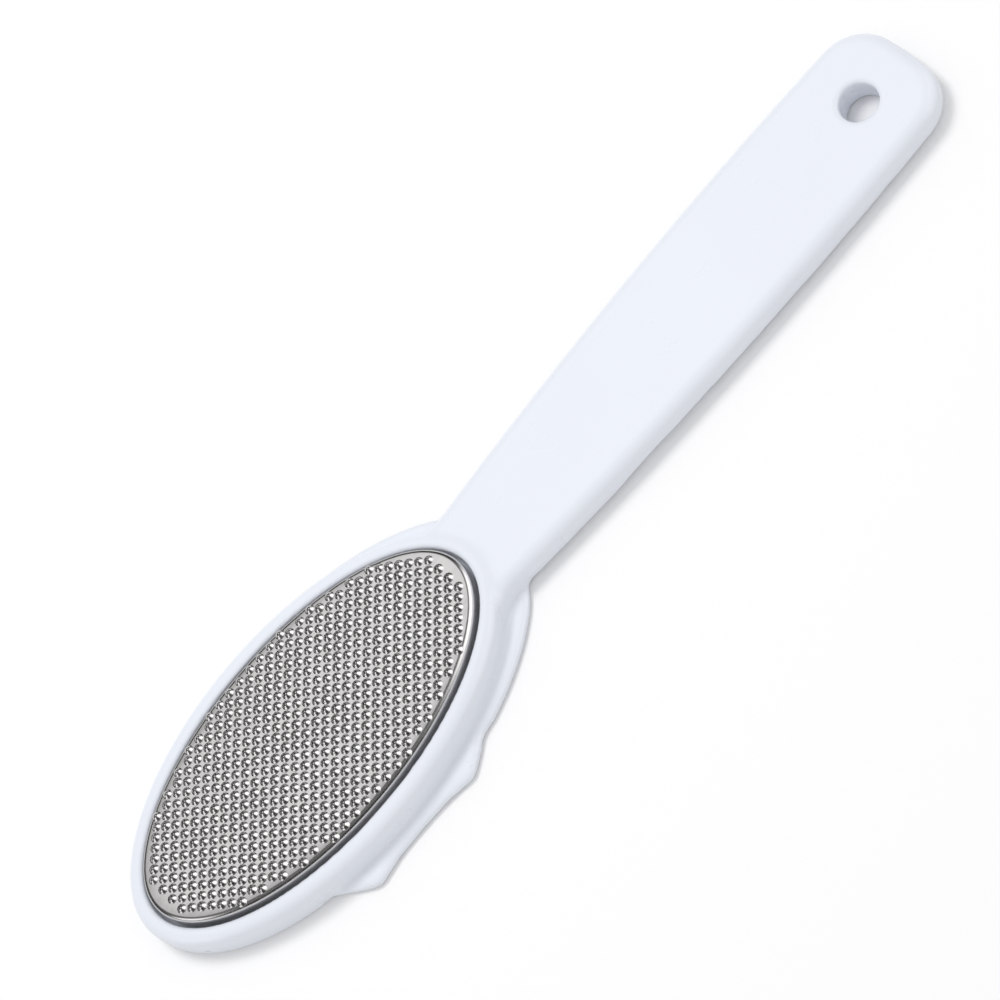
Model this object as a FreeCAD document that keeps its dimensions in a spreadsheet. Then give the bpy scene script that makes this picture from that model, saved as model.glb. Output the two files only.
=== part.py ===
# Foot file: one white moulding with a pressed steel rasp plate bonded into its oval head.
# Frame: the flat back lies on Z = 0, +X points to the hanging hole, the finger ears are on -Y,
# and the origin is the middle of the overall length.
import math
import os

import FreeCAD
import Part
import Sketcher
from FreeCAD import Vector

# Driving sizes in millimetres
SIZES = [
    ("overall_length", 200.0),
    ("overrun", 4.0),
    # Head: the oval rim and its recess
    ("head_half_length", 43.4),
    ("head_half_width", 23.0),
    ("crest_height", 6.5),
    ("shoulder_radius", 2.0),
    ("head_foot_radius", 0.7),
    ("recess_half_length", 40.1),
    ("recess_half_width", 19.65),
    ("recess_depth", 3.4),
    ("recess_edge_radius", 0.5),
    # Handle
    ("handle_thickness", 5.8),
    ("handle_edge_radius", 2.6),
    ("neck_offset", 41.1),
    ("neck_half_width", 10.1),
    ("end_half_width", 12.6),
    ("side_radius", 850.0),
    ("end_crown", 1.4),
    ("end_corner_radius", 8.8),
    ("flare_offset", 36.4),
    ("flare_half_width", 12.2),
    ("neck_radius", 9.0),
    ("root_offset", 30.0),
    # Hanging hole
    ("hole_radius", 3.7),
    ("hole_edge_radius", 0.7),
    ("hole_inset", 12.4),
    # Ledge around the head's sides
    ("ledge_half_length", 48.6),
    ("ledge_half_width", 25.2),
    ("ledge_height", 1.6),
    ("lip_radius", 0.85),
    ("lip_foot_radius", 0.6),
    ("ledge_corner_radius", 4.0),
    ("flank_start", 22.5),
    ("flank_start_half_width", 18.5),
    ("flank_run", 16.7),
    ("flank_rise", 12.5),
    # Finger ears on one side of the ledge
    ("ear_spread", 11.85),
    ("ear_shift", 1.5),
    ("ear_rise", 1.7),
    ("ear_dip", 1.2),
    ("ear_tip_radius", 2.4),
    ("ear_back_run", 9.65),
    ("ear_back_half_width", 19.15),
    ("ear_front_run", 7.2),
    ("ear_front_sink", 0.336),
    ("ear_root_half_width", 15.0),
    # Rasp plate
    ("plate_gap", 0.65),
    ("plate_rise", 1.5),
    ("plate_crown", 0.8),
    ("plate_edge_radius", 0.9),
    ("sheet_thickness", 0.5),
    ("tooth_step", 1.34),
    ("tooth_radius", 0.72),
    ("tooth_height", 0.55),
    ("tooth_sink", 0.2),
    ("tooth_edge_margin", 0.1),
    ("tooth_end_margin", 2.2),
    # Insert and adhesive inside the plate
    ("core_clearance", 0.1),
    ("bond_thickness", 0.2),
    ("bond_margin", 0.4),
]
HALF_SHARE = 0.5
FULL_TURN_DEG = 360.0
QUARTER_TURN_DEG = 90.0

doc = FreeCAD.newDocument("foot_file")
sheet = doc.addObject("Spreadsheet::Sheet", "sizes")
for row, (name, number) in enumerate(SIZES, start=1):
    sheet.set(f"A{row}", name)
    sheet.set(f"B{row}", str(number))
    sheet.setAlias(f"B{row}", name)
doc.recompute()


class Size:
    """A length from the sheet, or a sum of such lengths: its number and its formula."""

    def __init__(self, value, text):
        self.value = value
        self.text = text

    def __add__(self, other):
        return Size(self.value + other.value, f"({self.text} + {other.text})")

    def __sub__(self, other):
        return Size(self.value - other.value, f"({self.text} - {other.text})")

    def __neg__(self):
        return Size(-self.value, f"(0 - {self.text})")

    def __mul__(self, share):
        return Size(self.value * share, f"({self.text} * {share})")


def size(name):
    return Size(float(sheet.get(name)), f"sizes.{name}")


def arc_radius(half_chord, rise):
    """Radius of the arc that rises by that much over that half chord."""
    value = (half_chord.value ** 2 + rise.value ** 2) / (2 * rise.value)
    text = f"(({half_chord.text} ^ 2 + {rise.text} ^ 2) / (2 * {rise.text}))"
    return Size(value, text)


def oval_half_width(half_long, half_short, offset):
    """Half the width of an oval at an offset along its length."""
    value = half_short.value * (1 - (offset.value / half_long.value) ** 2) ** 0.5
    text = f"({half_short.text} * sqrt(1 - ({offset.text} / {half_long.text}) ^ 2))"
    return Size(value, text)


ZERO = Size(0.0, "0")
overrun = size("overrun")
half_length = size("overall_length") * HALF_SHARE
head_x = size("head_half_length") - half_length
crest = size("crest_height")
recess_floor = crest - size("recess_depth")


def origin_plane(body, role):
    for item in body.Origin.OriginFeatures:
        if item.Role == role:
            return item
    raise RuntimeError(f"{body.Name} has no {role}")


def new_sketch(body, name, role, level):
    sketch = body.newObject("Sketcher::SketchObject", name)
    sketch.AttachmentSupport = [(origin_plane(body, role), "")]
    sketch.MapMode = "FlatFace"
    sketch.setExpression("AttachmentOffset.Base.z", level.text)
    return sketch


def fix(sketch, kind, places, length):
    index = sketch.addConstraint(Sketcher.Constraint(kind, *places, length.value))
    sketch.renameConstraint(index, f"fix_{index}")
    sketch.setExpression(f"Constraints.fix_{index}", length.text)


def add_ellipse(sketch, centre_x, half_long, half_short):
    """An ellipse with its long axis on the X axis."""
    x = centre_x.value
    middle = Vector(x, 0, 0)
    long_end = Vector(x + half_long.value, 0, 0)
    short_end = Vector(x, half_short.value, 0)
    oval = sketch.addGeometry(Part.Ellipse(long_end, short_end, middle))
    sketch.exposeInternalGeometry(oval)
    major, minor = oval + 1, oval + 2
    sketch.addConstraint(Sketcher.Constraint("PointOnObject", oval, 3, -1))
    sketch.addConstraint(Sketcher.Constraint("Horizontal", major))
    fix(sketch, "DistanceX", (-1, 1, oval, 3), centre_x)
    fix(sketch, "Distance", (major,), half_long * 2)
    fix(sketch, "Distance", (minor,), half_short * 2)


def add_outline(sketch, corners):
    """A closed outline. Each corner is (x, y, radius, bulge) of the edge that leaves it:
    no radius is a straight edge, and a bulge of 1 curves to the right of the way it runs,
    which is outward when the outline runs anticlockwise."""
    ends = []
    for index, (x, y, radius, bulge) in enumerate(corners):
        next_x, next_y = corners[(index + 1) % len(corners)][:2]
        start = Vector(x.value, y.value, 0)
        stop = Vector(next_x.value, next_y.value, 0)
        if radius is None:
            edge = sketch.addGeometry(Part.LineSegment(start, stop))
            ends.append((edge, 1, 2))
            continue
        chord = stop - start
        half = chord.Length / 2
        right = Vector(chord.y, -chord.x, 0).normalize()
        reach = math.sqrt(radius.value ** 2 - half ** 2)
        centre = (start + stop) * HALF_SHARE - right * (bulge * reach)
        circle = Part.Circle(centre, Vector(0, 0, 1), radius.value)
        first = math.atan2(start.y - centre.y, start.x - centre.x)
        last = math.atan2(stop.y - centre.y, stop.x - centre.x)
        if bulge > 0:
            edge = sketch.addGeometry(Part.ArcOfCircle(circle, first, last))
            ends.append((edge, 1, 2))
        else:
            edge = sketch.addGeometry(Part.ArcOfCircle(circle, last, first))
            ends.append((edge, 2, 1))
    for index, (edge, start, stop) in enumerate(ends):
        next_edge, next_start, _ = ends[(index + 1) % len(ends)]
        sketch.addConstraint(Sketcher.Constraint("Coincident", edge, stop, next_edge, next_start))
    for (x, y, radius, _), (edge, start, _) in zip(corners, ends):
        fix(sketch, "DistanceX", (-1, 1, edge, start), x)
        fix(sketch, "DistanceY", (-1, 1, edge, start), y)
        if radius is not None:
            fix(sketch, "Radius", (edge,), radius)


def pad(body, name, sketch, height):
    feature = body.newObject("PartDesign::Pad", name)
    feature.Profile = sketch
    feature.setExpression("Length", height.text)
    doc.recompute()
    return feature


def pocket(body, name, sketch, both_ways=False):
    before = body.Tip.Shape.Volume
    feature = body.newObject("PartDesign::Pocket", name)
    feature.Profile = sketch
    feature.Type = "ThroughAll"
    feature.Midplane = both_ways
    feature.Reversed = not both_ways
    doc.recompute()
    if not 0 < feature.Shape.Volume < before or feature.Shape.isNull():
        raise RuntimeError(f"{name} cuts nothing")
    return feature


def round_edges(body, name, feature, radius, wanted):
    """Fillets the edges of a feature that the test picks."""
    names = []
    for index, edge in enumerate(feature.Shape.Edges, start=1):
        if wanted(edge):
            names.append(f"Edge{index}")
    if not names:
        raise RuntimeError(f"{name} finds no edge")
    fillet = body.newObject("PartDesign::Fillet", name)
    fillet.Base = (feature, names)
    fillet.setExpression("Radius", radius.text)
    doc.recompute()
    return fillet


def at_level(edge, level):
    box = edge.BoundBox
    near = level_tolerance
    return abs(box.ZMin - level.value) < near and abs(box.ZMax - level.value) < near


def upright_at(edge, x, y):
    box = edge.BoundBox
    middle = box.Center
    near = level_tolerance
    straight = box.XLength < near and box.YLength < near
    return straight and abs(middle.x - x.value) < near and abs(middle.y - y.value) < near


def in_head(edge):
    """Whether the middle of an edge lies inside the oval wall of the head."""
    middle = edge.valueAt((edge.FirstParameter + edge.LastParameter) / 2)
    along = (middle.x - head_x.value) / size("head_half_length").value
    across = middle.y / size("head_half_width").value
    return math.hypot(along, across) < 1


TOLERANCE_SHARE = 0.00005
level_tolerance = size("overall_length").value * TOLERANCE_SHARE

# Handle blank: the outline from the root inside the head, over the flared neck, to the end
handle = doc.addObject("PartDesign::Body", "handle_blank")
handle_sketch = new_sketch(handle, "handle_outline", "XY_Plane", ZERO)
end_x = half_length - size("end_crown")
root_x = head_x + size("root_offset")
flare_x = head_x + size("flare_offset")
neck_x = head_x + size("neck_offset")
flare_y = size("flare_half_width")
neck_y = size("neck_half_width")
end_y = size("end_half_width")
end_radius = arc_radius(end_y, size("end_crown"))
add_outline(handle_sketch, [
    (root_x, -flare_y, None, 0),
    (flare_x, -flare_y, None, 0),
    (neck_x, -neck_y, size("side_radius"), 1),
    (end_x, -end_y, end_radius, 1),
    (end_x, end_y, size("side_radius"), 1),
    (neck_x, neck_y, None, 0),
    (flare_x, flare_y, None, 0),
    (root_x, flare_y, None, 0),
])
handle_top = size("handle_thickness")
handle_pad = pad(handle, "handle_pad", handle_sketch, handle_top)


def is_end_corner(edge):
    return upright_at(edge, end_x, end_y) or upright_at(edge, end_x, -end_y)


def is_neck_corner(edge):
    return upright_at(edge, neck_x, neck_y) or upright_at(edge, neck_x, -neck_y)


def is_handle_rim(edge):
    outside = edge.BoundBox.XMax > flare_x.value + level_tolerance
    return outside and (at_level(edge, handle_top) or at_level(edge, ZERO))


handle_corners = round_edges(
    handle, "handle_corners", handle_pad, size("end_corner_radius"), is_end_corner)
handle_neck = round_edges(
    handle, "handle_neck", handle_corners, size("neck_radius"), is_neck_corner)
handle_rims = round_edges(
    handle, "handle_rims", handle_neck, size("handle_edge_radius"), is_handle_rim)
hole_sketch = new_sketch(handle, "hole_outline", "XY_Plane", ZERO)
hole_x = half_length - size("hole_inset")
hole = hole_sketch.addGeometry(
    Part.Circle(Vector(hole_x.value, 0, 0), Vector(0, 0, 1), size("hole_radius").value))
hole_sketch.addConstraint(Sketcher.Constraint("PointOnObject", hole, 3, -1))
fix(hole_sketch, "DistanceX", (-1, 1, hole, 3), hole_x)
fix(hole_sketch, "Radius", (hole,), size("hole_radius"))
hole_pocket = pocket(handle, "hole_pocket", hole_sketch)


def is_hole_rim(edge):
    flat = at_level(edge, handle_top) or at_level(edge, ZERO)
    round_edge = isinstance(edge.Curve, Part.Circle)
    return flat and round_edge and abs(edge.Curve.Radius - size("hole_radius").value) < level_tolerance


hole_rims = round_edges(handle, "hole_rims", hole_pocket, size("hole_edge_radius"), is_hole_rim)

# Head blank: the oval with its rounded shoulder
head = doc.addObject("PartDesign::Body", "head_blank")
head_sketch = new_sketch(head, "head_outline", "XY_Plane", ZERO)
add_ellipse(head_sketch, head_x, size("head_half_length"), size("head_half_width"))
head_pad = pad(head, "head_pad", head_sketch, crest)
head_shoulder = round_edges(
    head, "head_shoulder", head_pad, size("shoulder_radius"), lambda edge: at_level(edge, crest))
head_foot = round_edges(
    head, "head_foot", head_shoulder, size("head_foot_radius"), lambda edge: at_level(edge, ZERO))

# Ledge blank: the lower, wider oval, cut off before the head's tip, with the two finger ears
ledge = doc.addObject("PartDesign::Body", "ledge_blank")
ledge_top = size("ledge_height")
ledge_sketch = new_sketch(ledge, "ledge_outline", "XY_Plane", ZERO)
add_ellipse(ledge_sketch, head_x, size("ledge_half_length"), size("ledge_half_width"))
ledge_pad = pad(ledge, "ledge_pad", ledge_sketch, ledge_top)
cut_sketch = new_sketch(ledge, "tip_cut_outline", "XY_Plane", ZERO)
far_x = head_x - size("ledge_half_length") - overrun
far_y = size("ledge_half_width") + overrun
flank_x = head_x - size("flank_start")
flank_y = size("flank_start_half_width")
ear_cut_x = head_x - size("ear_spread") * HALF_SHARE
add_outline(cut_sketch, [
    (far_x, -far_y, None, 0),
    (ear_cut_x, -far_y, None, 0),
    (ear_cut_x, -flank_y, None, 0),
    (flank_x, flank_y, None, 0),
    (flank_x + size("flank_run"), flank_y + size("flank_rise"), None, 0),
    (far_x, flank_y + size("flank_rise"), None, 0),
])
tip_cut = pocket(ledge, "tip_cut", cut_sketch)
ear_sketch = new_sketch(ledge, "ear_outline", "XY_Plane", ZERO)
ear_middle_x = head_x + size("ear_shift")
back_tip_x = ear_middle_x - size("ear_spread")
front_tip_x = ear_middle_x + size("ear_spread")
tip_y = -(size("ledge_half_width") + size("ear_rise"))
root_y = -size("ear_root_half_width")
ear_back_x = back_tip_x - size("ear_back_run")
ear_front_x = front_tip_x + size("ear_front_run")
front_offset = ear_front_x - head_x
ledge_side = oval_half_width(size("ledge_half_length"), size("ledge_half_width"), front_offset)
front_y = size("ear_front_sink") - ledge_side
notch_radius = arc_radius(size("ear_spread"), size("ear_dip"))
add_outline(ear_sketch, [
    (ear_back_x, root_y, None, 0),
    (ear_back_x, -size("ear_back_half_width"), None, 0),
    (back_tip_x, tip_y, notch_radius, -1),
    (front_tip_x, tip_y, None, 0),
    (ear_front_x, front_y, None, 0),
    (ear_front_x, root_y, None, 0),
])
ear_pad = pad(ledge, "ear_pad", ear_sketch, ledge_top)


def is_ear_tip(edge):
    return upright_at(edge, back_tip_x, tip_y) or upright_at(edge, front_tip_x, tip_y)


def is_ledge_corner(edge):
    """The two plan corners where the ledge's oval meets a flank, outside the head."""
    box = edge.BoundBox
    upright = box.XLength < level_tolerance and box.YLength < level_tolerance
    tip = is_ear_tip(edge)
    return upright and not tip and not in_head(edge)


def is_lip(edge):
    return at_level(edge, ledge_top) and not in_head(edge)


def is_lip_foot(edge):
    return at_level(edge, ZERO) and not in_head(edge)


ear_tips = round_edges(ledge, "ear_tips", ear_pad, size("ear_tip_radius"), is_ear_tip)
ledge_corners = round_edges(
    ledge, "ledge_corners", ear_tips, size("ledge_corner_radius"), is_ledge_corner)
ledge_lip = round_edges(ledge, "ledge_lip", ledge_corners, size("lip_radius"), is_lip)
ledge_foot = round_edges(ledge, "ledge_foot", ledge_lip, size("lip_foot_radius"), is_lip_foot)

# Recess of the head, with the rounded edge of its mouth
recess = doc.addObject("PartDesign::Body", "recess_tool")
recess_long = size("recess_half_length")
recess_short = size("recess_half_width")
mouth_sketch = new_sketch(recess, "recess_outline", "XY_Plane", recess_floor)
add_ellipse(mouth_sketch, head_x, recess_long, recess_short)
recess_pad = pad(recess, "recess_pad", mouth_sketch, size("recess_depth"))
above_sketch = new_sketch(recess, "above_outline", "XY_Plane", crest)
add_ellipse(above_sketch, head_x, size("ledge_half_length"), size("ledge_half_width"))
above_pad = pad(recess, "above_pad", above_sketch, overrun)


def is_mouth(edge):
    return at_level(edge, crest) and in_head(edge)


recess_mouth = round_edges(
    recess, "recess_mouth", above_pad, size("recess_edge_radius"), is_mouth)

blank = doc.addObject("Part::MultiFuse", "moulding_blank")
blank.Shapes = [head, handle, ledge]
blank.Refine = True
moulding = doc.addObject("Part::Cut", "handle_body")
moulding.Base = blank
moulding.Tool = recess
moulding.Refine = True
moulding.Label = "handle_body"
doc.recompute()


def crowned_oval(name, half_long, half_short, foot, apex, edge_radius):
    """An oval block with an upright wall, a crowned top and a rounded top edge."""
    body = doc.addObject("PartDesign::Body", name)
    base = new_sketch(body, f"{name}_outline", "XY_Plane", foot)
    add_ellipse(base, head_x, half_long, half_short)
    pad(body, f"{name}_pad", base, apex - foot + overrun)
    arc = new_sketch(body, f"{name}_crown_outline", "YZ_Plane", head_x)
    side = size("head_half_width")
    low = apex - size("plate_crown")
    high = apex + overrun + overrun
    crown = arc_radius(side, size("plate_crown"))
    add_outline(arc, [
        (-side, high, None, 0),
        (-side, low, crown, -1),
        (side, low, None, 0),
        (side, high, None, 0),
    ])
    cut = pocket(body, f"{name}_crown", arc, both_ways=True)
    round_edges(
        body, f"{name}_edge", cut, edge_radius,
        lambda edge: edge.BoundBox.ZMin > low.value - level_tolerance)
    return body


# Rasp plate: a drawn sheet cup whose rim stands on the recess floor
plate_long = recess_long - size("plate_gap")
plate_short = recess_short - size("plate_gap")
plate_apex = crest + size("plate_rise")
sheet_thickness = size("sheet_thickness")
inner_edge = size("plate_edge_radius") - sheet_thickness
plate_outside = crowned_oval(
    "plate_outside", plate_long, plate_short, recess_floor, plate_apex, size("plate_edge_radius"))
plate_inside = crowned_oval(
    "plate_inside", plate_long - sheet_thickness, plate_short - sheet_thickness,
    recess_floor, plate_apex - sheet_thickness, inner_edge)
cup = doc.addObject("Part::Cut", "plate_cup")
cup.Base = plate_outside
cup.Tool = plate_inside
doc.recompute()


def tooth_caps():
    """Round teeth on a square grid turned by 45 degrees, kept to the crowned face."""
    step = size("tooth_step").value
    base = size("tooth_radius").value
    rise = size("tooth_height").value
    ball = (base ** 2 + rise ** 2) / (2 * rise)
    deep = ball - rise
    low_angle = math.degrees(math.asin((deep - size("tooth_sink").value) / ball))
    crown = arc_radius(size("head_half_width"), size("plate_crown")).value
    flat_long = plate_long.value - size("plate_edge_radius").value
    flat_short = plate_short.value - size("plate_edge_radius").value
    reach_x = flat_long - size("tooth_end_margin").value
    edge_long = flat_long - size("tooth_edge_margin").value
    edge_short = flat_short - size("tooth_edge_margin").value
    caps = []
    columns = int(reach_x / step)
    rows = int(flat_short / step)
    for column in range(-columns, columns + 1):
        for row in range(-rows, rows + 1):
            if (column + row) % 2:
                continue
            x = column * step
            y = row * step
            if math.hypot(x / edge_long, y / edge_short) > 1:
                continue
            face = plate_apex.value - crown + math.sqrt(crown ** 2 - y ** 2)
            centre = Vector(head_x.value + x, y, face - deep)
            caps.append(Part.makeSphere(
                ball, centre, Vector(0, 0, 1), low_angle, QUARTER_TURN_DEG, FULL_TURN_DEG))
    return caps


caps = tooth_caps()
print("teeth", len(caps))
plate = doc.addObject("Part::Feature", "rasp_plate")
plate.Shape = cup.Shape.multiFuse(caps)
plate.Label = "rasp_plate"

# Insert that fills the cup, and the adhesive under it
slip = sheet_thickness + size("core_clearance")
bond_top = recess_floor + size("bond_thickness")
core = crowned_oval(
    "plate_core", plate_long - slip, plate_short - slip, bond_top, plate_apex - slip, inner_edge)
core.Label = "plate_core"
bond = doc.addObject("PartDesign::Body", "bond_pad")
bond_sketch = new_sketch(bond, "bond_outline", "XY_Plane", recess_floor)
bond_inset = slip + size("bond_margin")
add_ellipse(bond_sketch, head_x, plate_long - bond_inset, plate_short - bond_inset)
pad(bond, "bond_layer", bond_sketch, size("bond_thickness"))
bond.Label = "bond_pad"
doc.recompute()

for item in doc.Objects:
    if "Invalid" in item.State or "Error" in item.State:
        raise RuntimeError(f"{item.Name}: {item.State}")

os.makedirs("parts", exist_ok=True)
for item in (moulding, plate, core, bond):
    shape = item.Shape
    if shape.isNull() or not shape.isValid() or len(shape.Solids) != 1:
        raise RuntimeError(f"{item.Label}: {len(shape.Solids)} solids")
    box = shape.BoundBox
    print(item.Label, round(shape.Volume), "mm3", [round(v, 2) for v in (
        box.XMin, box.XMax, box.YMin, box.YMax, box.ZMin, box.ZMax)])
    shape.exportStep(f"parts/{item.Label}.step")
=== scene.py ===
# %% [markdown]
# # Foot file
# A foot file is a flat moulded handle with an oval head. A pressed steel rasp plate sits in a recess of
# the head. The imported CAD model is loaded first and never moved: everything made here is placed from it.

# %% Load the frame
import math

import bmesh
import bpy
import numpy as np
from mathutils import Matrix, Vector
from mathutils.bvhtree import BVHTree
from mathutils.kdtree import KDTree


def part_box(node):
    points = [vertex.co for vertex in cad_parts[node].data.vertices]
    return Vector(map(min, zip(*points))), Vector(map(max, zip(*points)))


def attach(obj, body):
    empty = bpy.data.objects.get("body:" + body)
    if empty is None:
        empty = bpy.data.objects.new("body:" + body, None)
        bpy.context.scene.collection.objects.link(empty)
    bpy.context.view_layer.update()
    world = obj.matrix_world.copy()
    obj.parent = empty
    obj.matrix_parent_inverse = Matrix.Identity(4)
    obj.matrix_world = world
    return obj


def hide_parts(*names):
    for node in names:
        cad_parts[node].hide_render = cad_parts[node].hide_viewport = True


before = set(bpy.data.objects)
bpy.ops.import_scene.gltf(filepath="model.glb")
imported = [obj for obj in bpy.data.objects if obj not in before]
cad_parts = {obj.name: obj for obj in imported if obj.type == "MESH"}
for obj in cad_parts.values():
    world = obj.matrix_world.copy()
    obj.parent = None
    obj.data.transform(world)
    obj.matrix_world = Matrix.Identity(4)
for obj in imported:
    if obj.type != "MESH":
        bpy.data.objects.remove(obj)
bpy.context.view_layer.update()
MM = 0.001
plate_low, plate_high = (Vector(corner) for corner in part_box("rasp_plate"))

# %% [markdown]
# ## Writing node trees as sums
# Node trees are hard to read when every node takes five lines. One small class wraps a socket, so that
# maths between sockets is written as Python, and one method makes any other node.


# %% Sockets that can be added and multiplied
class Wire:
    """One output socket. Sums between wires and numbers add Math nodes to its tree."""

    def __init__(self, tree, socket):
        self.tree = tree
        self.socket = socket

    @classmethod
    def make(cls, tree, kind, settings=None, inputs=None, out=0):
        """Adds a node, sets its settings, then its sockets, and wraps the wanted output."""
        node = tree.nodes.new(kind)
        for name, value in (settings or {}).items():
            setattr(node, name, value)
        for name, value in (inputs or {}).items():
            if isinstance(value, Wire):
                tree.links.new(value.socket, node.inputs[name])
            else:
                node.inputs[name].default_value = value
        return cls(tree, node.outputs[out]) if node.outputs else node

    def _sum(self, operation, first, second):
        kind = "ShaderNodeMath"
        return Wire.make(self.tree, kind, {"operation": operation}, {0: first, 1: second})

    def __add__(self, other):
        return self._sum("ADD", self, other)

    __radd__ = __add__

    def __sub__(self, other):
        return self._sum("SUBTRACT", self, other)

    def __rsub__(self, other):
        return self._sum("SUBTRACT", other, self)

    def __mul__(self, other):
        return self._sum("MULTIPLY", self, other)

    __rmul__ = __mul__

    def __truediv__(self, other):
        return self._sum("DIVIDE", self, other)

    def __pow__(self, other):
        return self._sum("POWER", self, other)

    def below(self, other):
        return self._sum("LESS_THAN", self, other)


def new_material(name):
    """A node material with only its shader and output, and the shader's node."""
    material = bpy.data.materials.new(name)
    material.use_nodes = True
    tree = material.node_tree
    return material, tree, tree.nodes["Principled BSDF"]


def feed(tree, shader, **wires):
    for name, wire in wires.items():
        tree.links.new(wire.socket, shader.inputs[name.replace("_", " ")])


def noise(tree, place, scale, detail):
    inputs = {"Vector": place, "Scale": scale, "Detail": detail}
    return Wire.make(tree, "ShaderNodeTexNoise", {}, inputs, "Fac")


def blend_colours(tree, factor, first, second):
    node = Wire.make(tree, "ShaderNodeMix", {"data_type": "RGBA"}, {"Factor": factor}).socket.node
    colours = [socket for socket in node.inputs if socket.type == "RGBA"]
    for socket, colour in zip(colours, (first, second)):
        socket.default_value = colour
    shown = [socket for socket in node.outputs if socket.type == "RGBA"]
    return Wire(tree, shown[0])


print("node helpers ready")

# %% [markdown]
# ## Gloss white moulding
# The handle is injection-moulded in a cool white plastic, polished in the mould. A real one is never
# perfectly even: the gloss drifts a little from place to place and the skin has a faint orange peel.
# Three noises at different sizes give that, and the colour itself changes by only a percent.

# %% White plastic
PLASTIC_LOW = (0.80, 0.83, 0.90, 1)
PLASTIC_HIGH = (0.83, 0.86, 0.925, 1)
PLASTIC_CLOUD = {"scale": 35.0, "detail": 3.0}
PLASTIC_HAZE = {"scale": 160.0, "detail": 4.0}
PLASTIC_PEEL = {"scale": 900.0, "detail": 2.0}
PLASTIC_ROUGHNESS = 0.24
PLASTIC_ROUGHNESS_DRIFT = 0.1
PLASTIC_IOR = 1.5
PEEL_STRENGTH = 0.03
PEEL_DEPTH = 0.05 * MM


def white_plastic():
    material, tree, shader = new_material("white_plastic")
    place = Wire.make(tree, "ShaderNodeTexCoord", out="Object")
    cloud = noise(tree, place, **PLASTIC_CLOUD)
    haze = noise(tree, place, **PLASTIC_HAZE)
    peel = noise(tree, place, **PLASTIC_PEEL)
    colour = blend_colours(tree, cloud, PLASTIC_LOW, PLASTIC_HIGH)
    rough = PLASTIC_ROUGHNESS + haze * PLASTIC_ROUGHNESS_DRIFT
    bump = Wire.make(
        tree, "ShaderNodeBump", {}, {"Strength": PEEL_STRENGTH, "Distance": PEEL_DEPTH, "Height": peel})
    feed(tree, shader, Base_Color=colour, Roughness=rough, Normal=bump)
    shader.inputs["IOR"].default_value = PLASTIC_IOR
    return material


plastic = white_plastic()
print("made", plastic.name)

# %% [markdown]
# ## Pressed steel
# The rasp is bright stainless sheet. Rolling leaves fine lines along the strip and handling leaves a
# slight haze, so noise is stretched along the handle for the lines, and a finer one drives roughness.

# %% Bright steel
STEEL_LOW = (0.62, 0.61, 0.605, 1)
STEEL_HIGH = (0.71, 0.70, 0.695, 1)
STEEL_STRETCH = (0.06, 1.0, 1.0)
STEEL_LINES = {"scale": 1500.0, "detail": 3.0}
STEEL_HAZE = {"scale": 220.0, "detail": 4.0}
STEEL_ROUGHNESS = 0.16
STEEL_ROUGHNESS_DRIFT = 0.14
LINE_STRENGTH = 0.08
LINE_DEPTH = 0.02 * MM


def bright_steel():
    material, tree, shader = new_material("bright_steel")
    place = Wire.make(tree, "ShaderNodeTexCoord", out="Object")
    along = Wire.make(
        tree, "ShaderNodeMapping", {}, {"Vector": place, "Scale": STEEL_STRETCH})
    lines = noise(tree, along, **STEEL_LINES)
    haze = noise(tree, place, **STEEL_HAZE)
    colour = blend_colours(tree, lines, STEEL_LOW, STEEL_HIGH)
    rough = STEEL_ROUGHNESS + haze * STEEL_ROUGHNESS_DRIFT
    bump = Wire.make(
        tree, "ShaderNodeBump", {}, {"Strength": LINE_STRENGTH, "Distance": LINE_DEPTH, "Height": lines})
    feed(tree, shader, Base_Color=colour, Roughness=rough, Normal=bump)
    shader.inputs["Metallic"].default_value = 1.0
    return material


steel = bright_steel()
print("made", steel.name)

# %% [markdown]
# ## Pieces inside the head
# A rigid insert fills the cup, so that thin sheet doesn't buckle under a foot, and a film of adhesive
# bonds it to the head. Both are hidden, so the CAD meshes serve as they are. They still get a finish of
# their own, as a reader may show the pieces apart: two near colours in one fine grain are enough.

# %% Hidden insert and adhesive
GRAIN_DETAIL = 4.0
GRAIN_ROUGHNESS = 0.15
CORE_DARK = (0.03, 0.03, 0.03, 1)
CORE_LIGHT = (0.06, 0.06, 0.06, 1)
FILM_DARK = (0.55, 0.48, 0.3, 1)
FILM_LIGHT = (0.65, 0.58, 0.4, 1)


def speckled(name, dark, light, scale, rough):
    """A plain finish for the pieces inside: two near colours in a fine grain."""
    material, tree, shader = new_material(name)
    place = Wire.make(tree, "ShaderNodeTexCoord", out="Object")
    grain = noise(tree, place, scale, GRAIN_DETAIL)
    colour = blend_colours(tree, grain, dark, light)
    feed(tree, shader, Base_Color=colour, Roughness=rough + grain * GRAIN_ROUGHNESS)
    return material


core_plastic = speckled("core_plastic", CORE_DARK, CORE_LIGHT, scale=600.0, rough=0.5)
adhesive = speckled("adhesive_film", FILM_DARK, FILM_LIGHT, scale=300.0, rough=0.35)
for node_name, finish in (("plate_core", core_plastic), ("bond_pad", adhesive)):
    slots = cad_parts[node_name].data.materials
    slots.clear()
    slots.append(finish)
    print(node_name, "finished with", finish.name)

# %% [markdown]
# ## The moulding's skin
# A polished moulding has long even sides, and the mould-maker rounds every inner corner, as plastic
# must flow. The CAD solid has sharp inner corners, and its triangles are long and coarse on the rounded
# sides. So a joined copy of it is turned into an even net of small quads first.

# %% Even net from the CAD body
JOIN_DISTANCE = 0.001 * MM
NET_STEP = 0.45 * MM


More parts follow.
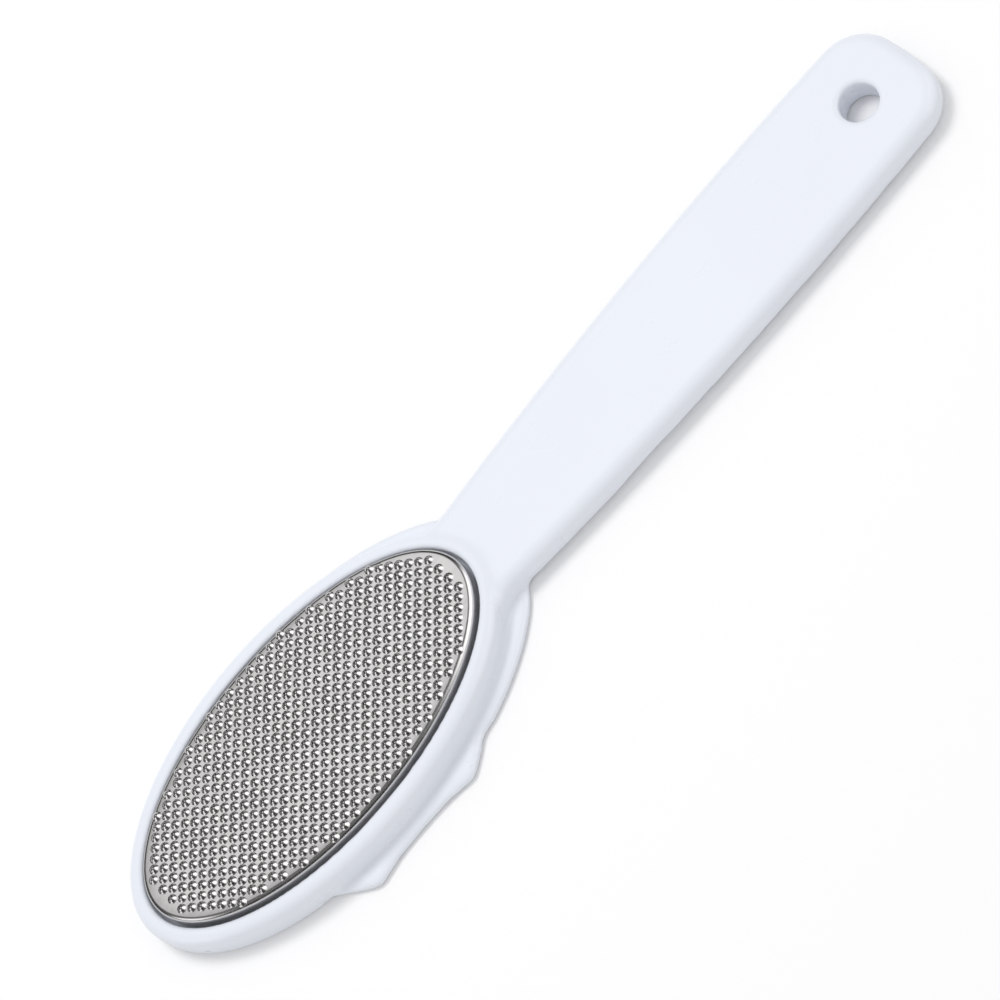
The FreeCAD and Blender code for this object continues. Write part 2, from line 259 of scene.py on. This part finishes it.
def joined_net(node_name):
    """The CAD node's triangles joined into one closed net."""
    net = bmesh.new()
    net.from_mesh(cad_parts[node_name].data)
    bmesh.ops.remove_doubles(net, verts=net.verts, dist=JOIN_DISTANCE)
    return net


def evaluated_copy(draft):
    graph = bpy.context.evaluated_depsgraph_get()
    return bpy.data.meshes.new_from_object(draft.evaluated_get(graph))


def even_skin(net, voxel):
    mesh = bpy.data.meshes.new("draft_skin")
    net.to_mesh(mesh)
    draft = bpy.data.objects.new("draft_skin", mesh)
    bpy.context.collection.objects.link(draft)
    remesh = draft.modifiers.new("even net", "REMESH")
    remesh.mode = "VOXEL"
    remesh.voxel_size = voxel
    skin = evaluated_copy(draft)
    bpy.data.objects.remove(draft)
    return skin


body_net = joined_net("handle_body")
even_mesh = even_skin(body_net, NET_STEP)
print("even net:", len(even_mesh.polygons), "faces")

# %% [markdown]
# ## Even handle sides
# The handle's sides were polished along their length, so a line along them has no steps. Rays from the
# handle's axis measure how far the surface is at each station and angle. A running mean along the
# length gives the even distance, and each point of the net moves by the difference.

# %% Handle sides without steps
SIDE_START = 6 * MM
SIDE_END = 83 * MM
SIDE_FADE = 9 * MM
SIDE_STEP = 1 * MM
MEAN_STATIONS = 9
ANGLE_COUNT = 180
MEAN_ROUNDS = 2
AXIS_HEIGHT = 2.9 * MM


def eased(share):
    """A share from 0 to 1 that starts and ends gently."""
    return share * share * (3 - 2 * share)


def side_distances(net):
    """Distance from the axis to the surface, a row for each station and a column for each angle."""
    tree = BVHTree.FromBMesh(net)
    stations = np.arange(SIDE_START, SIDE_END, SIDE_STEP)
    angles = np.arange(ANGLE_COUNT) * 2 * math.pi / ANGLE_COUNT
    ways = [Vector((0, math.cos(angle), math.sin(angle))) for angle in angles]
    rows = []
    for station in stations:
        middle = Vector((station, 0, AXIS_HEIGHT))
        rows.append([tree.ray_cast(middle, way)[3] for way in ways])
    return np.array(rows)


def running_mean(rows):
    """Mean over neighbouring stations, taken twice so that it has no corners of its own."""
    half = MEAN_STATIONS // 2
    for _ in range(MEAN_ROUNDS):
        padded = np.pad(rows, ((half, half), (0, 0)), mode="reflect", reflect_type="odd")
        rows = sum(padded[shift:shift + len(rows)] for shift in range(MEAN_STATIONS)) / MEAN_STATIONS
    return rows


def looked_up(change, row, column):
    """The change at places between the measured stations and angles."""
    first_row = np.clip(np.floor(row).astype(int), 0, len(change) - 2)
    first_column = np.floor(column).astype(int) % ANGLE_COUNT
    next_column = (first_column + 1) % ANGLE_COUNT
    along = np.clip(row - first_row, 0, 1)
    around = column - np.floor(column)

    def between_angles(at_row):
        return change[at_row, first_column] * (1 - around) + change[at_row, next_column] * around

    return between_angles(first_row) * (1 - along) + between_angles(first_row + 1) * along


def even_sides(mesh, net):
    """Moves each point of the handle's sides to the even distance. Returns the largest move."""
    measured = side_distances(net)
    change = running_mean(measured) - measured
    spots = np.empty(len(mesh.vertices) * 3)
    mesh.vertices.foreach_get("co", spots)
    spots = spots.reshape(-1, 3)
    row = (spots[:, 0] - SIDE_START) / SIDE_STEP
    angle = np.arctan2(spots[:, 2] - AXIS_HEIGHT, spots[:, 1]) % (2 * math.pi)
    column = angle * ANGLE_COUNT / (2 * math.pi)
    inner = np.minimum(spots[:, 0] - SIDE_START, SIDE_END - spots[:, 0]) / SIDE_FADE
    move = looked_up(change, row, column) * eased(np.clip(inner, 0, 1))
    spots[:, 1] += move * np.cos(angle)
    spots[:, 2] += move * np.sin(angle)
    mesh.vertices.foreach_set("co", spots.ravel())
    mesh.update()
    return np.abs(move).max()


largest_move = even_sides(even_mesh, body_net)
print("handle sides moved by at most", round(largest_move / MM, 3), "mm")

# %% [markdown]
# ## Soft inner corners
# The corners between rim, ledge and neck are small fillets on the real moulding. The points near a sharp
# inner edge of the CAD net are smoothed, and the more the nearer they are. All other points stay.

# %% Valleys of the moulding
VALLEY_ANGLE = math.radians(20)
VALLEY_STEP = 0.3 * MM
VALLEY_REACH = 3.0 * MM
VALLEY_ROUNDS = 28
SMOOTH_SHARE = 0.5


def valley_points(net):
    """Points along the sharp inner corners, close enough to measure distances from."""
    points = []
    for edge in net.edges:
        if edge.calc_face_angle_signed(0) > -VALLEY_ANGLE:
            continue
        first, last = (corner.co for corner in edge.verts)
        count = max(1, round((last - first).length / VALLEY_STEP))
        points.extend(first.lerp(last, step / count) for step in range(count + 1))
    lookup = KDTree(len(points))
    for index, point in enumerate(points):
        lookup.insert(point, index)
    lookup.balance()
    return lookup


def soften_valleys(skin, lookup):
    """A copy of the skin that is smoothed near the valleys and shaded smooth."""
    draft = bpy.data.objects.new("draft_skin", skin)
    bpy.context.collection.objects.link(draft)
    near = draft.vertex_groups.new(name="near a valley")
    for vertex in skin.vertices:
        share = 1 - lookup.find(vertex.co)[2] / VALLEY_REACH
        if share > 0:
            near.add([vertex.index], eased(share), "REPLACE")
    soften = draft.modifiers.new("soften", "SMOOTH")
    soften.factor = SMOOTH_SHARE
    soften.iterations = VALLEY_ROUNDS
    soften.vertex_group = near.name
    soft = evaluated_copy(draft)
    bpy.data.objects.remove(draft)
    soft.polygons.foreach_set("use_smooth", [True] * len(soft.polygons))
    return soft


def place_piece(name, mesh, finish, node_name):
    """Puts a finished mesh in the scene in place of a CAD node."""
    mesh.materials.append(finish)
    piece = bpy.data.objects.new(name, mesh)
    bpy.context.collection.objects.link(piece)
    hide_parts(node_name)
    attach(piece, "root")
    return piece


skin_mesh = soften_valleys(even_mesh, valley_points(body_net))
skin_mesh.name = "moulded_body"
body_net.free()
moulded_body = place_piece("moulded_body", skin_mesh, plastic, "handle_body")
print(moulded_body.name, "has", len(skin_mesh.polygons), "faces")

# %% [markdown]
# ## The rasp cup
# The plate is drawn from thin sheet: a low oval cup, open below, with a slightly crowned face and a
# rounded edge. It follows a rule, so its rings of points are worked out from the CAD node's box.

# %% Cup sizes
SHEET = 0.5 * MM
EDGE = 0.9 * MM
CROWN = 0.8 * MM
TOOTH_HEIGHT = 0.55 * MM
CROWN_REACH = 23.0 * MM
half_long = (plate_high.x - plate_low.x) / 2
half_short = (plate_high.y - plate_low.y) / 2
head_x = (plate_high.x + plate_low.x) / 2
floor_z = plate_low.z
apex_z = plate_high.z - TOOTH_HEIGHT
print("cup half axes in mm:", round(half_long / MM, 2), round(half_short / MM, 2))

# %% [markdown]
# ## Rings of the cup
# Pressing leaves one skin that runs up the wall, over the rounded edge and across the face, and back
# inside at the sheet's thickness. A solidify modifier could thicken a single surface, but the inside of
# the edge has a radius of its own. So rings of points are made outside and inside, and bridged.

# %% Cup rings
CUP_POINTS = 180
EDGE_STEPS = 6
EDGE_TURN = math.radians(90 / EDGE_STEPS)
WALL_SHARES = (0.4, 0.8)
FACE_SHARES = (0.9, 0.75, 0.6, 0.45, 0.3, 0.15)


def face_height(y):
    return apex_z - CROWN * (y / CROWN_REACH) ** 2


def wall_height(y, drop, share):
    """Height at a share of the straight wall, which ends a drop below the face."""
    return floor_z + (face_height(y) - drop - floor_z) * share


def cup_profile(skin, edge):
    """Steps of (inset, drop below the face) from the rim of the wall up and over to the middle."""
    steps = []
    for turn in range(EDGE_STEPS + 1):
        angle = EDGE_TURN * turn
        steps.append((skin + edge * (1 - math.sin(angle)), skin + edge * (1 - math.cos(angle))))
    return list(reversed(steps))


def build_cup():
    net = bmesh.new()
    directions = [2 * math.pi * step / CUP_POINTS for step in range(CUP_POINTS)]

    def ring(inset, height):
        row = []
        for angle in directions:
            x = (half_long - inset) * math.cos(angle)
            y = (half_short - inset) * math.sin(angle)
            row.append(net.verts.new((head_x + x, y, height(y))))
        return row

    def face_rings(skin, edge):
        rings = [ring(skin, lambda y: floor_z)]
        for share in WALL_SHARES:
            rings.append(ring(skin, lambda y, s=share: wall_height(y, skin + edge, s)))
        for inset, drop in cup_profile(skin, edge):
            rings.append(ring(inset, lambda y, d=drop: face_height(y) - d))
        return rings

    def bridge(first, second):
        for step in range(CUP_POINTS):
            after = (step + 1) % CUP_POINTS
            net.faces.new((first[step], first[after], second[after], second[step]))

    def close_face(last, skin, inset):
        rows = [last]
        for share in FACE_SHARES:
            row = []
            for angle in directions:
                x = (half_long - inset) * math.cos(angle) * share
                y = (half_short - inset) * math.sin(angle) * share
                row.append(net.verts.new((head_x + x, y, face_height(y) - skin)))
            bridge(rows[-1], row)
            rows.append(row)
        net.faces.new(rows[-1])

    outside = face_rings(0.0, EDGE)
    inside = face_rings(SHEET, EDGE - SHEET)
    for rings, skin, edge in ((outside, 0.0, EDGE), (inside, SHEET, EDGE - SHEET)):
        for first, second in zip(rings, rings[1:]):
            bridge(first, second)
        close_face(rings[-1], skin, skin + edge)
    bridge(inside[0], outside[0])
    bmesh.ops.recalc_face_normals(net, faces=net.faces)
    mesh = bpy.data.meshes.new("rasp_cup")
    net.to_mesh(mesh)
    net.free()
    mesh.polygons.foreach_set("use_smooth", [True] * len(mesh.polygons))
    return mesh


cup_mesh = build_cup()
print("cup:", len(cup_mesh.polygons), "faces")

# %% [markdown]
# ## The teeth
# A punch raises hundreds of round teeth in a square grid turned by 45 degrees. One tooth is lathed from
# a short profile, in millimetres of radius and height. Its foot flares out in a hollow curve, as that
# of pressed sheet does, and ends just below the face, so that no gap shows.

# %% One tooth
TOOTH_PROFILE = [
    (0.0, 0.6), (0.25, 0.545), (0.45, 0.42), (0.6, 0.27), (0.74, 0.11), (0.86, 0.025), (0.97, -0.01),
    (0.9, -0.15)]
TOOTH_SIDES = 10


def build_tooth():
    net = bmesh.new()
    top = net.verts.new((0, 0, TOOTH_PROFILE[0][1] * MM))
    rings = []
    for radius, height in TOOTH_PROFILE[1:]:
        row = []
        for step in range(TOOTH_SIDES):
            angle = 2 * math.pi * step / TOOTH_SIDES
            row.append(net.verts.new((
                radius * MM * math.cos(angle), radius * MM * math.sin(angle), height * MM)))
        rings.append(row)
    for step in range(TOOTH_SIDES):
        after = (step + 1) % TOOTH_SIDES
        net.faces.new((top, rings[0][step], rings[0][after]))
        for upper, lower in zip(rings, rings[1:]):
            net.faces.new((upper[step], lower[step], lower[after], upper[after]))
    net.faces.new(list(reversed(rings[-1])))
    mesh = bpy.data.meshes.new("rasp_tooth")
    net.to_mesh(mesh)
    net.free()
    mesh.polygons.foreach_set("use_smooth", [True] * len(mesh.polygons))
    return mesh


tooth = bpy.data.objects.new("tooth_pattern", build_tooth())
bpy.context.collection.objects.link(tooth)
print("tooth:", len(tooth.data.polygons), "faces")

# %% [markdown]
# ## Setting the teeth
# On the real plate the punch strikes a square grid and leaves smooth crescents at both ends of the oval.
# Teeth could be copied by a Python loop, but a Geometry Nodes tree shows the rule, and its inputs can be
# changed later. It lays the grid turned by 45 degrees and keeps the points on the face.

# %% Grid of points on the face
TREE_INPUTS = {
    "Float": ("Pitch", "Half Long", "Half Short", "End Reach", "Above", "Head X", "Uneven"),
    "Int": ("Rows", "Seed"),
    "Object": ("Tooth",),
    "Material": ("Finish",),
}
GRID_TURN = math.pi / 4


def declare_inputs(tree):
    """Gives the tree its sockets. Returns a wire for each input by its name."""
    face = tree.interface
    face.new_socket("Geometry", in_out="INPUT", socket_type="NodeSocketGeometry")
    for kind, names in TREE_INPUTS.items():
        for name in names:
            face.new_socket(name, in_out="INPUT", socket_type=f"NodeSocket{kind}")
    face.new_socket("Geometry", in_out="OUTPUT", socket_type="NodeSocketGeometry")
    group = tree.nodes.new("NodeGroupInput")
    return {socket.name: Wire(tree, socket) for socket in group.outputs if socket.name}


def grid_points(tree, given):
    """The grid's points inside the oval and short of its ends."""
    span = given["Pitch"] * (given["Rows"] - 1)
    grid = Wire.make(tree, "GeometryNodeMeshGrid", {}, {
        "Size X": span, "Size Y": span, "Vertices X": given["Rows"], "Vertices Y": given["Rows"]})
    turned = Wire.make(tree, "GeometryNodeTransform", {}, {
        "Geometry": grid, "Rotation": (0, 0, GRID_TURN)})
    spot = Wire.make(tree, "GeometryNodeInputPosition")
    split = Wire.make(tree, "ShaderNodeSeparateXYZ", {}, {"Vector": spot}).socket.node
    x = Wire(tree, split.outputs["X"])
    y = Wire(tree, split.outputs["Y"])
    inside = ((x / given["Half Long"]) ** 2 + (y / given["Half Short"]) ** 2).below(1)
    reached = (x * x).below(given["End Reach"] * given["End Reach"])
    return Wire.make(tree, "GeometryNodeDeleteGeometry", {}, {
        "Geometry": turned, "Selection": 1 - inside * reached})


rasp_tree = bpy.data.node_groups.new("rasp teeth", "GeometryNodeTree")
tree_given = declare_inputs(rasp_tree)
tree_points = grid_points(rasp_tree, tree_given)
print("grid of the tree:", len(rasp_tree.nodes), "nodes")

# %% [markdown]
# ## From points to teeth
# Each tooth stands square to the crowned face, and no two are quite alike, as a punch wears. So each
# point falls on the cup by a ray, which also tells how the face leans there. The lean is captured before
# the point moves. Then a tooth is set on it, a few percent larger or smaller at random.


# %% Teeth on the points
def draped_points(tree, given, points):
    """The points on the cup's face, and the turn that stands a tooth square to it."""
    lift = Wire.make(tree, "ShaderNodeCombineXYZ", {}, {"X": given["Head X"], "Z": given["Above"]})
    lifted = Wire.make(tree, "GeometryNodeSetPosition", {}, {"Geometry": points, "Offset": lift})
    ray = Wire.make(tree, "GeometryNodeRaycast", {}, {
        "Target Geometry": given["Geometry"], "Ray Direction": (0, 0, -1)}).socket.node
    landed = Wire(tree, ray.outputs["Hit Position"])
    facing = Wire(tree, ray.outputs["Hit Normal"])
    upright = Wire.make(
        tree, "FunctionNodeAlignRotationToVector", {"axis": "Z"}, {"Vector": facing})
    held = Wire.make(tree, "GeometryNodeCaptureAttribute", {}, {"Geometry": lifted}).socket.node
    held.capture_items.new("ROTATION", "upright")
    tree.links.new(upright.socket, held.inputs["upright"])
    draped = Wire.make(tree, "GeometryNodeSetPosition", {}, {
        "Geometry": Wire(tree, held.outputs["Geometry"]), "Position": landed})
    return draped, Wire(tree, held.outputs["upright"])


def random_size(tree, given):
    """A size near 1 for each tooth."""
    swell = Wire.make(tree, "FunctionNodeRandomValue", {"data_type": "FLOAT"}, {
        "Seed": given["Seed"]}).socket.node
    limits = [socket for socket in swell.inputs if socket.type == "VALUE"]
    tree.links.new((1 - given["Uneven"]).socket, limits[0])
    tree.links.new((1 + given["Uneven"]).socket, limits[1])
    drawn = [socket for socket in swell.outputs if socket.type == "VALUE"]
    return Wire(tree, drawn[0])


def set_teeth(tree, given, points):
    """Sets a tooth on each point and joins them to the cup."""
    draped, upright = draped_points(tree, given, points)
    shape = Wire.make(tree, "GeometryNodeObjectInfo", {}, {"Object": given["Tooth"]}, "Geometry")
    teeth = Wire.make(tree, "GeometryNodeInstanceOnPoints", {}, {
        "Points": draped, "Instance": shape, "Rotation": upright, "Scale": random_size(tree, given)})
    solid = Wire.make(tree, "GeometryNodeRealizeInstances", {}, {"Geometry": teeth})
    joined = Wire.make(tree, "GeometryNodeJoinGeometry", {}, {"Geometry": solid})
    tree.links.new(given["Geometry"].socket, joined.socket.node.inputs["Geometry"])
    finished = Wire.make(tree, "GeometryNodeSetMaterial", {}, {
        "Geometry": joined, "Material": given["Finish"]})
    output = tree.nodes.new("NodeGroupOutput")
    tree.links.new(finished.socket, output.inputs["Geometry"])


set_teeth(rasp_tree, tree_given, tree_points)
print("whole tree:", len(rasp_tree.nodes), "nodes")

# %% [markdown]
# ## The finished plate
# The real plate is one sheet, so cup and teeth become one mesh. The tree runs on a draft of the cup with
# the sizes that the photograph gave, and its result takes the place of the CAD plate. The middles of
# the teeth stay 1 mm inside the plate's outer oval and end 3 mm before its tips.

# %% Teeth on the cup
TOOTH_STEP = 1.34 * MM
GRID_ROWS = 61
RIM_CLEARANCE = 1.0 * MM
TIP_CLEARANCE = 3.0 * MM
TOOTH_UNEVENNESS = 0.06
TOOTH_SEED = 4


def toothed_plate(values):
    """The cup's mesh with teeth, made by the tree with these values."""
    draft = bpy.data.objects.new("draft_plate", cup_mesh)
    bpy.context.collection.objects.link(draft)
    modifier = draft.modifiers.new("rasp teeth", "NODES")
    modifier.node_group = rasp_tree
    for item in rasp_tree.interface.items_tree:
        if item.in_out == "INPUT" and item.name in values:
            modifier[item.identifier] = values[item.name]
    mesh = evaluated_copy(draft)
    bpy.data.objects.remove(draft)
    mesh.materials.clear()
    mesh.name = "toothed_plate"
    return mesh


plate_mesh = toothed_plate({
    "Pitch": TOOTH_STEP * math.sqrt(2),
    "Rows": GRID_ROWS,
    "Half Long": half_long - RIM_CLEARANCE,
    "Half Short": half_short - RIM_CLEARANCE,
    "End Reach": half_long - TIP_CLEARANCE,
    "Above": plate_high.z + EDGE,
    "Head X": head_x,
    "Uneven": TOOTH_UNEVENNESS,
    "Seed": TOOTH_SEED,
    "Tooth": tooth,
    "Finish": steel,
})
bpy.data.objects.remove(tooth)
toothed = place_piece("toothed_plate", plate_mesh, steel, "rasp_plate")
print(toothed.name, "has", len(plate_mesh.polygons), "faces")

# %% [markdown]
# ## White sweep
# The photograph shows the file on a white sweep that is almost blank. A curved sheet could be modelled,
# but nothing of its bend shows, so one large square does for it. It is nearly white to the camera, as
# in the photograph, and a little darker to all other rays, so that it throws less light back.

# %% Floor
FLOOR_SIZE = 6.0
FLOOR_DROP = 0.1 * MM
FLOOR_LIT = (0.85, 0.85, 0.85, 1)
FLOOR_SEEN = (0.96, 0.96, 0.96, 1)
FLOOR_TONE = {"scale": 3.0, "detail": 2.0}
FLOOR_TONE_SHARE = 0.01
FLOOR_ROUGHNESS = 0.9


def build_floor(size, drop):
    mesh = bpy.data.meshes.new("floor")
    half = size / 2
    mesh.from_pydata(
        [(-half, -half, -drop), (half, -half, -drop), (half, half, -drop), (-half, half, -drop)],
        [], [(0, 1, 2, 3)])
    material, tree, shader = new_material("white_sweep")
    place = Wire.make(tree, "ShaderNodeTexCoord", out="Object")
    tone = noise(tree, place, **FLOOR_TONE)
    camera = Wire.make(tree, "ShaderNodeLightPath", out="Is Camera Ray")
    colour = blend_colours(tree, camera + tone * FLOOR_TONE_SHARE, FLOOR_LIT, FLOOR_SEEN)
    feed(tree, shader, Base_Color=colour)
    shader.inputs["Roughness"].default_value = FLOOR_ROUGHNESS
    shader.inputs["Specular IOR Level"].default_value = 0.0
    mesh.materials.append(material)
    floor = bpy.data.objects.new("floor", mesh)
    bpy.context.collection.objects.link(floor)


build_floor(FLOOR_SIZE, FLOOR_DROP)
print("floor:", FLOOR_SIZE, "m wide,", round(FLOOR_DROP / MM, 2), "mm below the file")

# %% [markdown]
# ## Sky
# White panels stand around a product photograph, and bright steel shows them on each tooth. A picture of
# a studio could light the scene, but a few soft round panels are easier to place. They show only in
# reflections. All other light from the sky is an even fill, and the camera sees plain white.

# %% Sky
SKY_FILL = 0.76
MIRRORED_DARK = 0.03
MIRRORED_PANELS = [
    {"centre": (0, 0, 1), "edge": 0.4, "full": 0.9, "strength": 0.14},
    {"centre": (0, 0.52, 0.85), "edge": 0.93, "full": 0.99, "strength": 0.95},
    {"centre": (0.86, -0.34, 0.38), "edge": 0.66, "full": 0.9, "strength": 1.7},
    {"centre": (-0.81, -0.1, 0.44), "edge": 0.93, "full": 0.98, "strength": 1.5},
]


def build_sky(fill):
    world = bpy.data.worlds.new("soft_sky")
    world.use_nodes = True
    bpy.context.scene.world = world
    tree = world.node_tree
    background = tree.nodes["Background"]
    direction = Wire.make(tree, "ShaderNodeTexCoord", out="Generated")

    def glow(centre, edge, full, strength):
        """Soft round panel of light around a direction, for what the steel mirrors."""
        way = tuple(Vector(centre).normalized())
        near = Wire.make(
            tree, "ShaderNodeVectorMath", {"operation": "DOT_PRODUCT"}, {0: direction, 1: way}, "Value")
        return Wire.make(
            tree, "ShaderNodeMapRange", {"interpolation_type": "SMOOTHSTEP"},
            {"Value": near, "From Min": edge, "From Max": full, "To Min": 0.0, "To Max": strength})

    mirrored = MIRRORED_DARK
    for panel in MIRRORED_PANELS:
        mirrored = mirrored + glow(**panel)
    path = tree.nodes.new("ShaderNodeLightPath")
    camera = Wire(tree, path.outputs["Is Camera Ray"])
    glossy = Wire(tree, path.outputs["Is Glossy Ray"])
    seen = camera + (1 - camera) * (glossy * mirrored + (1 - glossy) * fill)
    tree.links.new(seen.socket, background.inputs["Strength"])
    background.inputs["Color"].default_value = (1, 1, 1, 1)


build_sky(SKY_FILL)
print("sky with", len(MIRRORED_PANELS), "mirrored panels")

# %% [markdown]
# ## Lamp
# The shadow in the photograph is short and soft and lies on the near side, so the main light is broad
# and comes from above on the far side. A sun lamp would be simpler, but an area lamp gives the softness.
# It is kept out of reflections, as the sky's panels already stand for what the steel mirrors.

# %% Broad lamp on the far side
LAMP_PLACE = (-0.05, 0.42, 1.06)
LAMP_AIM = (-0.02, 0, 0)
LAMP_SIZE = (0.4, 0.4)
LAMP_WATTS = 4.2


def add_lamp(name, place, aim, size, watts):
    lamp = bpy.data.lights.new(name, "AREA")
    lamp.shape = "RECTANGLE"
    lamp.size, lamp.size_y = size
    lamp.energy = watts
    holder = bpy.data.objects.new(name, lamp)
    way = Vector(aim) - Vector(place)
    holder.matrix_world = Matrix.Translation(place) @ way.to_track_quat("-Z", "Y").to_matrix().to_4x4()
    holder.visible_glossy = False
    bpy.context.collection.objects.link(holder)


add_lamp("far_softbox", LAMP_PLACE, LAMP_AIM, LAMP_SIZE, LAMP_WATTS)
print("lamp of", LAMP_WATTS, "W at", LAMP_PLACE)

# %% [markdown]
# ## Camera
# The photograph looks down at about 59 degrees through a long lens, turned so that the handle runs to
# the upper right corner. The camera is built from those angles, and the lens shift centres the frame.

# %% Camera at the photograph's view
ELEVATION = 58.53
AZIMUTH = 0.924
ROLL = 48.536
DISTANCE = 641.2 * MM
FOCAL_PIXELS = 3723.0
AIM = Vector((0, 0, 4 * MM))
AIM_PIXEL = (530.2, 491.1)
IMAGE_PIXELS = 1000
SENSOR_WIDTH = 36.0
NEAR_CLIP = 0.01


def add_camera():
    lift = math.radians(ELEVATION)
    side = math.radians(AZIMUTH)
    roll = math.radians(ROLL)
    ahead = Vector((
        math.sin(side) * math.cos(lift), math.cos(side) * math.cos(lift), -math.sin(lift)))
    level = Vector((math.cos(side), -math.sin(side), 0))
    above = level.cross(ahead)
    right = math.cos(roll) * level - math.sin(roll) * above
    up = math.sin(roll) * level + math.cos(roll) * above
    turn = Matrix((right, up, -ahead)).transposed().to_4x4()
    lens = bpy.data.cameras.new("camera")
    lens.sensor_width = SENSOR_WIDTH
    lens.lens = FOCAL_PIXELS / IMAGE_PIXELS * SENSOR_WIDTH
    lens.shift_x = (IMAGE_PIXELS / 2 - AIM_PIXEL[0]) / IMAGE_PIXELS
    lens.shift_y = (AIM_PIXEL[1] - IMAGE_PIXELS / 2) / IMAGE_PIXELS
    lens.clip_start = NEAR_CLIP
    camera = bpy.data.objects.new("camera", lens)
    camera.matrix_world = Matrix.Translation(AIM - ahead * DISTANCE) @ turn
    bpy.context.collection.objects.link(camera)
    bpy.context.scene.camera = camera


add_camera()
bpy.context.scene.view_settings.view_transform = "Standard"
print("camera", round(DISTANCE / MM, 1), "mm from its aim")
